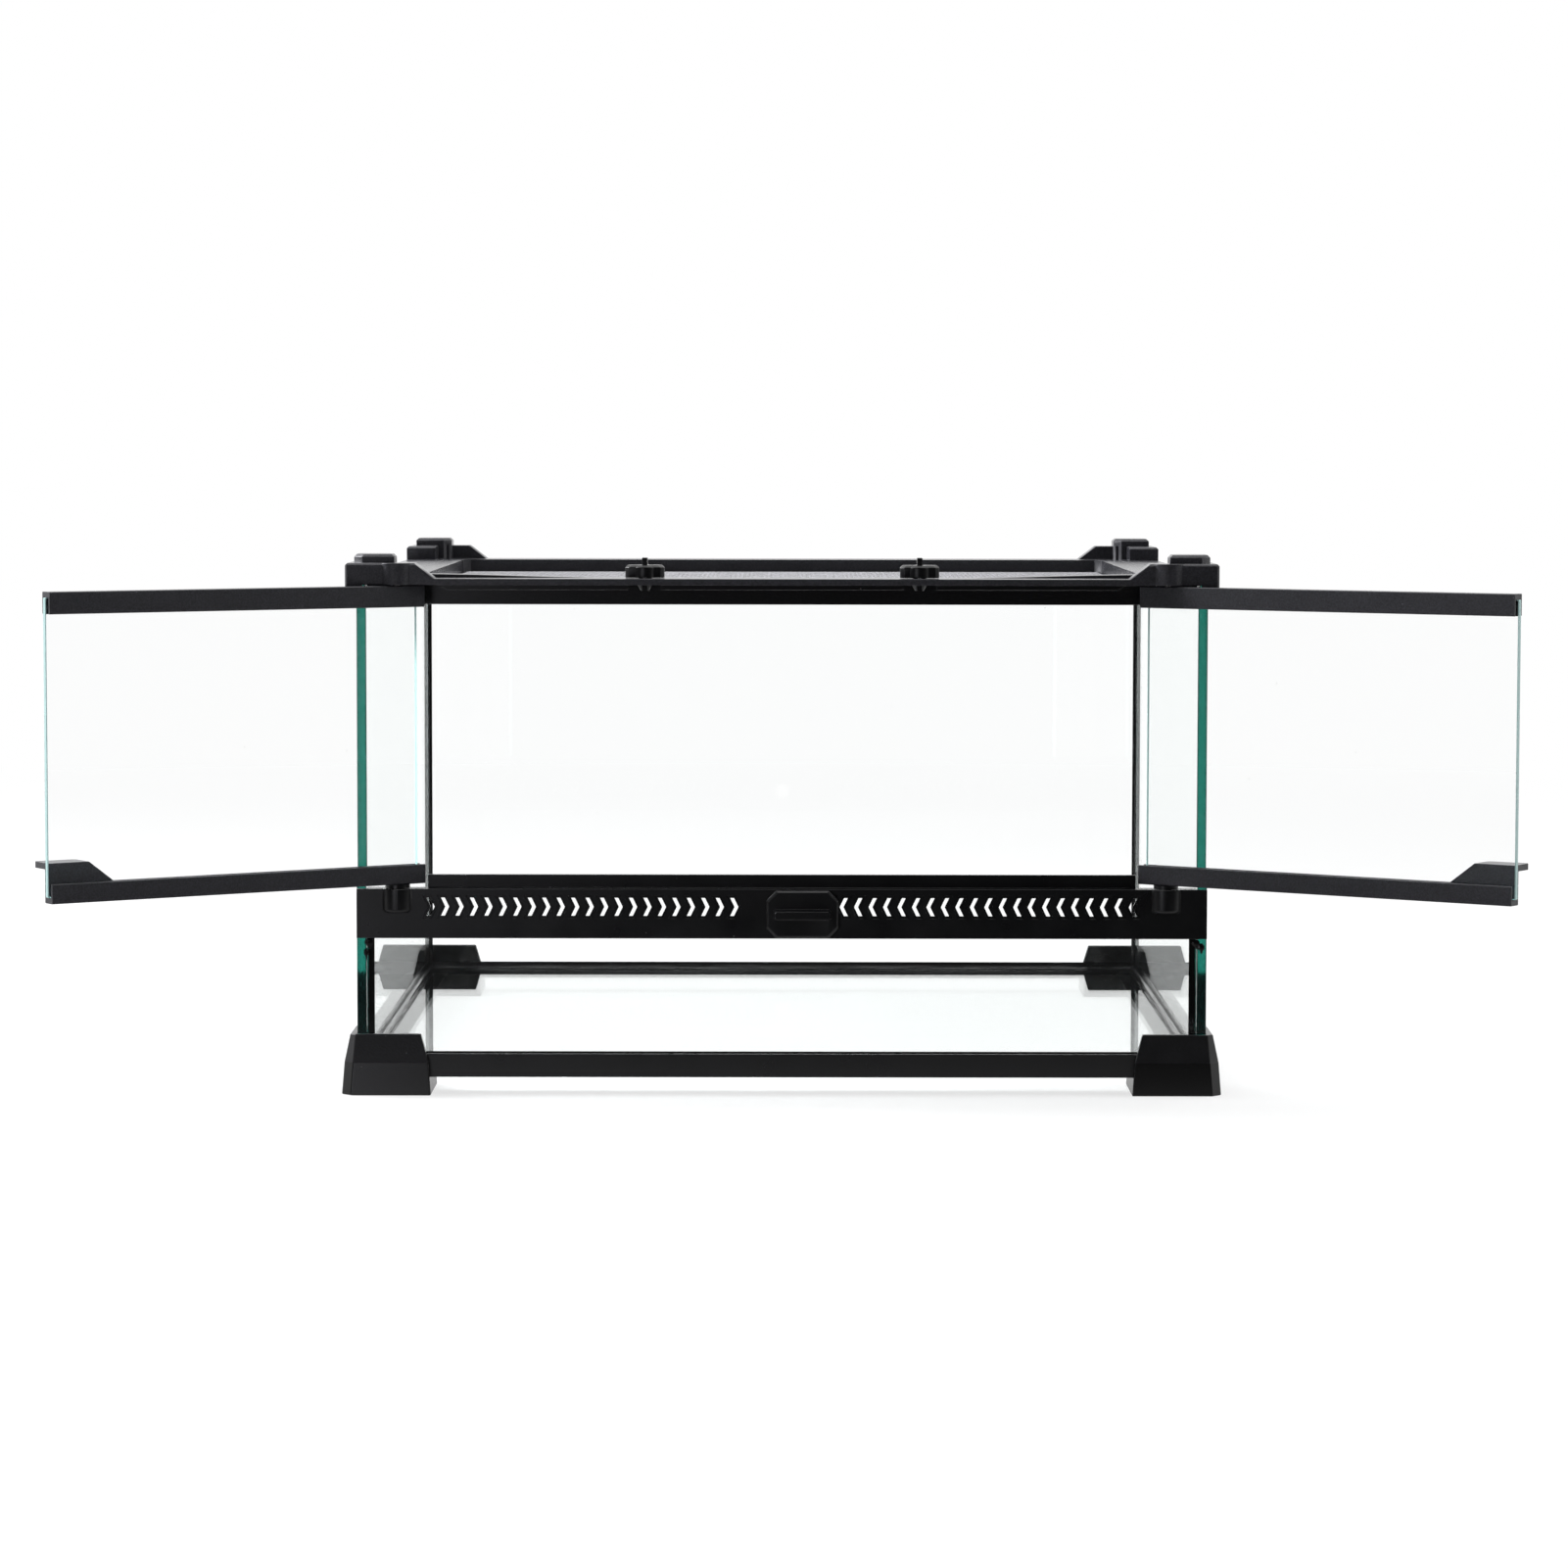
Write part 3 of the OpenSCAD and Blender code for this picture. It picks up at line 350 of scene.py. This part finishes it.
def plated_steel(name):
    """Zinc-plated steel pin: turned, so faint rings run round it."""
    material, tree = new_material(name)
    place = add(tree, "ShaderNodeTexCoord").outputs["Object"]
    rings = add(tree, "ShaderNodeTexNoise", {"Vector": place, "Scale": 1 / (0.8 * MM)})
    rough = add(tree, "ShaderNodeMapRange",
                {"Value": rings.outputs["Fac"], "To Min": 0.18, "To Max": 0.4})
    shader = add(tree, "ShaderNodeBsdfPrincipled",
                 {"Base Color": linear("#b9b8b4"), "Metallic": 1.0,
                  "Roughness": rough.outputs["Result"]})
    add(tree, "ShaderNodeOutputMaterial", {"Surface": shader.outputs["BSDF"]})
    return material


def drawn_wire(name):
    """Woven stainless wire, drawn and then dulled by the loom: bright crowns on grey wire."""
    material, tree = new_material(name)
    place = add(tree, "ShaderNodeTexCoord").outputs["Object"]
    wear = add(tree, "ShaderNodeTexNoise", {"Vector": place, "Scale": 1 / (9 * MM), "Detail": 3.0})
    tone = add(tree, "ShaderNodeMix",
               {0: wear.outputs["Fac"], 6: linear("#939397"), 7: linear("#c0c0c4")},
               data_type="RGBA")
    shader = add(tree, "ShaderNodeBsdfPrincipled",
                 {"Base Color": tone.outputs[2], "Roughness": 0.25, "Metallic": 1.0})
    add(tree, "ShaderNodeOutputMaterial", {"Surface": shader.outputs["BSDF"]})
    return material


TEXTURED = moulded_abs("spark_textured_abs", "#2a2a2f", "#39393f",
                       roughness=0.48, grain=0.8, depth=0.065)
FRAME = moulded_abs("frame_abs", "#313136", "#404046",
                    roughness=0.44, grain=0.8, depth=0.065, smooth_and_darker_below=FRAME_POLISHED_AND_SHADED)
FOOT = moulded_abs("foot_abs", "#0c0c0f", "#141418",
                   roughness=0.42, grain=1.1, depth=0.09, smooth_and_darker_below=FOOT_CREASE)
SATIN = moulded_abs("satin_abs", "#08080b", "#0f0f13", roughness=0.33, grain=0.7, depth=0.015)
# The thick panes show a deep green edge; the doors' thin one is white with a touch of cyan
BOX_GLASS = float_glass("float_glass_5mm", absorbed="#7ad6c9", density=4.0,
                        edge_tint=("#2f938a", "#54aea4"), edge_clear=0.95)
DOOR_GLASS = float_glass("float_glass_3mm", absorbed="#8fe6d2", density=4.0,
                         edge_tint=("#c2faf5", "#e2fdfb"), edge_clear=0.1)
SILICONE = tooled_silicone("tooled_black_silicone")
STEEL = plated_steel("zinc_plated_steel")
WIRE = drawn_wire("woven_stainless_wire")


# ------------------------------------------------------------------ glass

def mark_ground_edges(piece, normal):
    """Marks the faces that aren't square to normal as ground edge."""
    marks = piece.data.attributes.new("ground_edge", "FLOAT", "FACE")
    for polygon, mark in zip(piece.data.polygons, marks.data):
        mark.value = 0.0 if abs(polygon.normal.dot(normal)) > 0.99 else 1.0


def glass_sheet(name, low, high):
    """A sheet of glass between two corners in millimetres, with a ground arris on each edge."""
    middle = [(a + b) / 2 * MM for a, b in zip(low, high)]
    size = [(b - a) * MM for a, b in zip(low, high)]
    bpy.ops.object.select_all(action="DESELECT")
    bpy.ops.mesh.primitive_cube_add(size=1, location=middle, scale=size)
    piece = begin(name)
    bpy.ops.object.mode_set(mode="EDIT")
    bpy.ops.mesh.select_all(action="SELECT")
    bpy.ops.mesh.bevel(offset=0.4 * MM, segments=1, affect="EDGES")
    bpy.ops.object.mode_set(mode="OBJECT")
    return piece


def box_pane(node, name, axis, bonded):
    """Stands in for a pane of the box; bonded names the sides, such as -x, that end at a bond."""
    low, high = [[c / MM for c in corner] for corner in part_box(node)]
    for side in bonded:
        k = "xyz".index(side[1])
        if side[0] == "-":
            low[k] += BOND
        else:
            high[k] -= BOND
    piece = glass_sheet(name, low, high)
    mark_ground_edges(piece, Vector([float(k == axis) for k in range(3)]))
    fit_out(piece, BODY_OF[node], BOX_GLASS, [node])


def door_pane(side):
    """Stands in for a door's glass: made closed, about the hinge, then turned to where it is."""
    hand = "left" if side < 0 else "right"
    low_z, high_z = [corner[2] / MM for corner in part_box(hand + "_door_glass")]
    x = sorted((-DOOR_FREE * side, DOOR_FIXED * side))
    piece = glass_sheet("door_pane_" + hand, (x[0], DOOR_GLASS_Y[0], low_z),
                        (x[1], DOOR_GLASS_Y[1], high_z))
    mark_ground_edges(piece, Vector((0, 1, 0)))
    piece.matrix_world = (Matrix.Translation((HINGE_X * side * MM, HINGE_Y * MM, 0))
                          @ Matrix.Rotation(math.radians(DOOR_OPEN * side), 4, "Z"))
    settle(piece)
    fit_out(piece, hand + "_door", DOOR_GLASS, [hand + "_door_glass"])


box_pane("floor_pane", "pane_floor", 2, ("-x", "+x", "-y", "+y"))
box_pane("left_pane", "pane_left", 0, ())
box_pane("right_pane", "pane_right", 0, ())
box_pane("rear_pane", "pane_rear", 1, ("-x", "+x"))
box_pane("low_front_pane", "pane_low_front", 1, ("-x", "+x"))
door_pane(-1)
door_pane(1)


# ------------------------------------------------------------------ moulded pieces

def flatten(piece):
    """Shades the level and upright faces flat, as the mould's steel was ground."""
    pick(piece, "FACE", lambda face: max(abs(part) for part in face.normal) > 0.999)
    bpy.ops.mesh.faces_shade_flat()
    bpy.ops.object.mode_set(mode="OBJECT")


def eased(node, width, material, segments=2, pierced=False):
    """Stands in for a moulded CAD piece, with its sharp edges eased, by a width in millimetres,
    as the mould leaves them. A face with holes can't be one polygon, so a pierced piece keeps
    smaller faces, and its level and upright ones are shaded flat."""
    source = frame["nodes"][node]
    piece = source.copy()
    piece.data = source.data.copy()
    piece.parent = None
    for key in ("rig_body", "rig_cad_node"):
        del piece[key]
    piece.name = piece.data.name = "moulded_" + node
    bpy.context.scene.collection.objects.link(piece)
    only(piece)
    bpy.ops.object.mode_set(mode="EDIT")
    bpy.ops.mesh.select_all(action="SELECT")
    bpy.ops.mesh.remove_doubles(threshold=0.002 * MM)
    if pierced:
        bpy.ops.mesh.tris_convert_to_quads(face_threshold=math.radians(0.5),
                                           shape_threshold=math.radians(180))
    else:
        bpy.ops.mesh.dissolve_limited(angle_limit=math.radians(0.5))
    bpy.ops.object.mode_set(mode="OBJECT")
    smooth(piece, 28)
    finish_with(piece, "BEVEL", width=width * MM, segments=segments, limit_method="ANGLE",
                angle_limit=math.radians(28), use_clamp_overlap=False,
                miter_outer="MITER_ARC", harden_normals=not pierced)
    if pierced:
        flatten(piece)
    fit_out(piece, BODY_OF[node], material, [node])
    return piece


for corner in ("front_left", "front_right", "rear_left", "rear_right"):
    eased("foot_" + corner, 0.6, FOOT)
for side in ("front", "rear", "left", "right"):
    eased("base_rail_" + side, 0.4, SATIN)

eased("vent_strip", 0.15, SATIN, segments=1, pierced=True)
eased("top_frame", 0.3, FRAME, pierced=True)
eased("door_latch", 0.3, SATIN)
for hand in ("left", "right"):
    eased("lid_lock_" + hand, 0.3, SATIN)
    for part in ("top_rail", "bottom_rail", "handle"):
        eased(hand + "_door_" + part, 0.12, TEXTURED, segments=1)

# Pieces that keep their CAD mesh
PLAIN = {"silicone_seams": SILICONE, "latch_screw": STEEL}
for hand in ("left", "right"):
    PLAIN[hand + "_hinge_pins"] = STEEL
    PLAIN[hand + "_hinge_washer"] = SATIN
for node, material in PLAIN.items():
    mesh = frame["nodes"][node].data
    mesh.materials.clear()
    mesh.materials.append(material)


# ------------------------------------------------------------------ silicone by hand

def floor_bead(side):
    """The bead along a side of the floor: a soft tube laid into the corner, its width wandering
    as it was squeezed out."""
    hand = "left" if side < 0 else "right"
    radius, start, step, steps = 1.6, -216, 16, 27
    bpy.ops.object.select_all(action="DESELECT")
    bpy.ops.mesh.primitive_circle_add(
        vertices=12, radius=radius * MM, rotation=(math.radians(90), 0, 0),
        location=((WALL_INSIDE - radius) * side * MM, start * MM, (FLOOR_TOP + radius) * MM))
    piece = begin("floor_bead_" + hand)
    bpy.ops.object.mode_set(mode="EDIT")
    bpy.ops.mesh.select_mode(type="VERT")
    bpy.ops.mesh.select_all(action="SELECT")
    for _ in range(steps):
        bpy.ops.mesh.extrude_region_move(TRANSFORM_OT_translate={"value": (0, step * MM, 0)})
    bpy.ops.mesh.select_all(action="SELECT")
    bpy.ops.mesh.fill_holes(sides=12)
    bpy.ops.mesh.normals_make_consistent(inside=False)
    bpy.ops.transform.vertex_random(offset=0.22 * MM, uniform=1.0, seed=3 + side)
    bpy.ops.object.mode_set(mode="OBJECT")
    finish_with(piece, "SUBSURF", levels=1, render_levels=1)
    smooth(piece, 60)
    fit_out(piece, "tank", SILICONE)


def squeezed_blob(name, place, size, seed):
    """A drop of silicone squeezed out of a joint and left; place and size in millimetres."""
    bpy.ops.object.select_all(action="DESELECT")
    bpy.ops.mesh.primitive_ico_sphere_add(subdivisions=3, radius=1 * MM,
                                          location=[p * MM for p in place], scale=size)
    piece = begin(name)
    # Drawn out below and a little to one side, where it sagged before it cured
    waist = (place[2] - 0.3 * size[2]) * MM
    pick(piece, "VERT", lambda v: v.co.z < waist)
    bpy.ops.transform.resize(value=(0.5, 0.6, 1.5), center_override=(
        (place[0] + 0.2 * size[0]) * MM, place[1] * MM, waist))
    bpy.ops.mesh.select_all(action="SELECT")
    bpy.ops.transform.vertex_random(offset=0.16 * MM, uniform=0.8, seed=seed)
    bpy.ops.object.mode_set(mode="OBJECT")
    finish_with(piece, "SUBSURF", levels=1, render_levels=1)
    smooth(piece, 70)
    fit_out(piece, "tank", SILICONE)


floor_bead(-1)
floor_bead(1)
for name, place, size, seed in (
        ("blob_left_high", (-216.2, -222.7, 79.5), (2.4, 0.6, 2.6), 2),
        ("blob_left_low", (-217.6, -222.8, 74.0), (1.3, 0.5, 2.8), 5),
        ("blob_right_high", (216.8, -222.7, 79.6), (2.2, 0.6, 2.2), 8),
        ("blob_right_edge", (219.6, -222.8, 77.4), (1.9, 0.5, 2.4), 11),
        ("blob_right_foot", (214.6, -222.8, 36.6), (1.5, 0.6, 3.4), 14)):
    squeezed_blob(name, place, size, seed)


# ------------------------------------------------------------------ bowed lid

def bow(piece):
    """Lifts the lid's front corners, which stand proud of the frame where no lock holds them."""
    corner, lift, reach = 188, 1.9, 100
    for side in (-1, 1):
        pick(piece, "VERT", lambda v: v.co.y < -corner * MM and v.co.x * side > corner * MM)
        bpy.ops.transform.translate(value=(0, 0, lift * MM), use_proportional_edit=True,
                                    proportional_edit_falloff="SMOOTH",
                                    proportional_size=reach * MM)
    bpy.ops.object.mode_set(mode="OBJECT")


lid = eased("lid_frame", 0.25, TEXTURED, segments=1, pierced=True)
only(lid)
bpy.ops.object.mode_set(mode="EDIT")
# Cut across every 20 mm near the corners, so that the long sides can curve
for cut in (*range(-180, -60, 20), *range(80, 200, 20)):
    for across in ((1, 0, 0), (0, 1, 0)):
        bpy.ops.mesh.select_all(action="SELECT")
        bpy.ops.mesh.bisect(plane_co=[cut * MM * part for part in across], plane_no=across)
bow(lid)
flatten(lid)


# ------------------------------------------------------------------ webs over the doors

def corner_web(side):
    """A web under each front corner of the top frame, which closes the gap over the door rail.
    A bar with its inner end run out to a slope."""
    hand = "left" if side < 0 else "right"
    middle, size, slope = (206 * side, -212, 265), (22, 2, 4), 4
    bpy.ops.object.select_all(action="DESELECT")
    bpy.ops.mesh.primitive_cube_add(size=1, location=[part * MM for part in middle],
                                    scale=[part * MM for part in size])
    piece = begin("corner_web_" + hand)
    # The lower inner edge, drawn outwards
    pick(piece, "VERT", lambda v: abs(v.co.x) < abs(middle[0]) * MM and v.co.z < middle[2] * MM)
    bpy.ops.transform.translate(value=(slope * side * MM, 0, 0))
    bpy.ops.object.mode_set(mode="OBJECT")
    finish_with(piece, "BEVEL", width=0.3 * MM, segments=2, harden_normals=True)
    fit_out(piece, "tank", TEXTURED)


corner_web(-1)
corner_web(1)


# ------------------------------------------------------------------ woven screen

def woven_screen(name, turned):
    """The wires of one direction of a plain weave: each passes over and under the others."""
    pitch, wire, count, middle_z = 2.6, 0.4, 149, 262.7
    reach = (count - 1) * pitch / 2
    crown = wire / 2 * (-1 if turned else 1)
    bpy.ops.object.select_all(action="DESELECT")
    bpy.ops.mesh.primitive_circle_add(
        vertices=4, radius=wire / 2 * MM, rotation=(0, math.radians(90), 0),
        location=(-reach * MM, -reach * MM, (middle_z + crown) * MM))
    piece = begin(name)
    # One over and one under, then repeated along the wire
    bpy.ops.object.mode_set(mode="EDIT")
    bpy.ops.mesh.select_all(action="SELECT")
    for drop in (-2 * crown, 2 * crown):
        bpy.ops.mesh.extrude_region_move(
            TRANSFORM_OT_translate={"value": (pitch * MM, 0, drop * MM)})
    bpy.ops.object.mode_set(mode="OBJECT")
    finish_with(piece, "ARRAY", count=count // 2, use_relative_offset=False,
                use_constant_offset=True, constant_offset_displace=(2 * pitch * MM, 0, 0),
                use_merge_vertices=True, merge_threshold=0.01 * MM)
    bpy.ops.object.mode_set(mode="EDIT")
    bpy.ops.mesh.select_all(action="SELECT")
    bpy.ops.mesh.fill_holes(sides=4)
    bpy.ops.mesh.normals_make_consistent(inside=False)
    # The next wire is the same one upside down
    bpy.ops.mesh.select_all(action="SELECT")
    bpy.ops.mesh.duplicate_move(TRANSFORM_OT_translate={"value": (0, pitch * MM, 0)})
    bpy.ops.transform.resize(value=(1, 1, -1), center_override=(0, 0, middle_z * MM))
    bpy.ops.mesh.flip_normals()
    bpy.ops.object.mode_set(mode="OBJECT")
    finish_with(piece, "ARRAY", count=(count + 1) // 2, use_relative_offset=False,
                use_constant_offset=True, constant_offset_displace=(0, 2 * pitch * MM, 0))
    if turned:
        piece.matrix_world = Matrix.Rotation(math.radians(90), 4, "Z")
        settle(piece)
    smooth(piece, 100)
    return piece


weft = woven_screen("screen_weft", False)
warp = woven_screen("screen_warp", True)
bow(weft)
bow(warp)
fit_out(weft, "lid", WIRE, ["lid_mesh"])
fit_out(warp, "lid", WIRE)


# ------------------------------------------------------------------ camera, floor and room

camera = bpy.data.cameras.new("camera")
camera.lens = LENS
camera.sensor_width = 36
viewer = bpy.data.objects.new("camera", camera)
viewer.matrix_world = (Matrix.Translation(EYE)
                       @ Matrix.Rotation(math.radians(90 - DOWN), 4, "X")
                       @ Matrix.Rotation(math.radians(ROLL), 4, "Z"))
bpy.context.scene.collection.objects.link(viewer)
bpy.context.scene.camera = viewer

# Floor: pale and plain, and pure white a little way off the object
bpy.ops.object.select_all(action="DESELECT")
bpy.ops.mesh.primitive_circle_add(vertices=96, radius=14, fill_type="NGON",
                                  location=(0, 0, -0.1 * MM))
floor = bpy.context.object
floor.name = "floor"
material, tree = new_material("white_studio_floor")
place = add(tree, "ShaderNodeTexCoord").outputs["Object"]
away = add(tree, "ShaderNodeVectorMath", {0: place}, operation="LENGTH")
fade = add(tree, "ShaderNodeMapRange",
           {"Value": away.outputs["Value"], "From Min": 0.9, "From Max": 2.4})
matt = add(tree, "ShaderNodeBsdfDiffuse", {"Color": (0.3, 0.3, 0.3, 1)})
path, looked, shine = seen_directly(tree)
paler = add(tree, "ShaderNodeMath", {0: shine, 1: 0.4, 2: 0.32}, operation="MULTIPLY_ADD")
glow = add(tree, "ShaderNodeEmission", {"Color": (1, 1, 1, 1), "Strength": paler.outputs[0]})
lit = add(tree, "ShaderNodeAddShader", {0: matt.outputs["BSDF"], 1: glow.outputs["Emission"]})
white = add(tree, "ShaderNodeEmission", {"Color": (1, 1, 1, 1), "Strength": shine})
seen = add(tree, "ShaderNodeMixShader",
           {0: fade.outputs["Result"], 1: lit.outputs["Shader"], 2: white.outputs["Emission"]})
# Mirrored in the object, the floor is white behind it and falls off on the side of the camera
spot = add(tree, "ShaderNodeSeparateXYZ", {0: place})
fall = add(tree, "ShaderNodeMapRange",
           {"Value": spot.outputs["Y"], "From Min": -0.62, "From Max": 0.12,
            "To Min": 0.05, "To Max": 1.12}, interpolation_type="SMOOTHSTEP")
mirrored = add(tree, "ShaderNodeEmission",
               {"Color": (1, 1, 1, 1), "Strength": fall.outputs["Result"]})
reflected = add(tree, "ShaderNodeMath",
                {0: path.outputs["Is Glossy Ray"], 1: path.outputs["Is Transmission Ray"]},
                operation="MAXIMUM")
unseen = add(tree, "ShaderNodeMixShader",
             {0: reflected.outputs[0], 1: matt.outputs["BSDF"], 2: mirrored.outputs[0]})
surface = add(tree, "ShaderNodeMixShader",
              {0: looked, 1: unseen.outputs["Shader"], 2: seen.outputs["Shader"]})
add(tree, "ShaderNodeOutputMaterial", {"Surface": surface.outputs["Shader"]})
floor.data.materials.append(material)

world = bpy.data.worlds.new("studio")
bpy.context.scene.world = world
world.use_nodes = True
tree = world.node_tree
tree.nodes.clear()
path, looked, shine = seen_directly(tree)
# The room is white behind and above the object, and dim on the side of the camera
towards = add(tree, "ShaderNodeTexCoord").outputs["Generated"]
axes = add(tree, "ShaderNodeSeparateXYZ", {0: towards})
behind = add(tree, "ShaderNodeMapRange",
             {"Value": axes.outputs["Y"], "From Min": -0.35, "From Max": 0.35,
              "To Min": 0.05, "To Max": 1.15}, interpolation_type="SMOOTHSTEP")
above = add(tree, "ShaderNodeMapRange",
            {"Value": axes.outputs["Z"], "From Min": 0.5, "From Max": 1.0,
             "To Min": 0.0, "To Max": 0.25}, interpolation_type="SMOOTHSTEP")
room = add(tree, "ShaderNodeMath", {0: behind.outputs["Result"], 1: above.outputs["Result"]},
           operation="MAXIMUM")
soft = add(tree, "ShaderNodeBackground",
           {"Color": (1, 1, 1, 1), "Strength": room.outputs[0]})
backdrop = add(tree, "ShaderNodeBackground", {"Color": (1, 1, 1, 1), "Strength": shine})
whole = add(tree, "ShaderNodeMixShader", {0: looked, 1: soft.outputs[0], 2: backdrop.outputs[0]})
add(tree, "ShaderNodeOutputWorld", {"Surface": whole.outputs[0]})


def softbox(name, place, target, width, height, power, colour=(1, 1, 1)):
    """A rectangular lamp at a place, turned towards a target; metres and watts."""
    lamp = bpy.data.lights.new(name, "AREA")
    lamp.color = colour
    lamp.shape = "RECTANGLE"
    lamp.size, lamp.size_y = width, height
    lamp.energy = power
    holder = bpy.data.objects.new(name, lamp)
    holder.location = place
    aim = Vector(target) - Vector(place)
    holder.rotation_euler = aim.to_track_quat("-Z", "Y").to_euler()
    bpy.context.scene.collection.objects.link(holder)


# The lamps stay clear of the directions that the open doors mirror towards the camera
softbox("softbox_top", (0, 0.2, 2.6), (0, 0, 0.1), 2.6, 2.6, 30)
softbox("softbox_left", (-0.55, -1.3, 0.12), (-0.2, -0.2, 0.15), 0.45, 0.24, 0.9, (0.93, 0.93, 1))
softbox("softbox_side", (-1.6, 0.3, 1.2), (0.2, -0.2, 0.2), 0.6, 0.6, 38, (0.96, 0.96, 1))
softbox("softbox_right", (2.6, -1.0, 1.2), (0, 0, 0.15), 0.8, 1.2, 8)

cycles = bpy.context.scene.cycles
cycles.max_bounces = 24
cycles.transmission_bounces = 24
cycles.glossy_bounces = 8
cycles.transparent_max_bounces = 24

bpy.context.scene.view_settings.view_transform = "Standard"
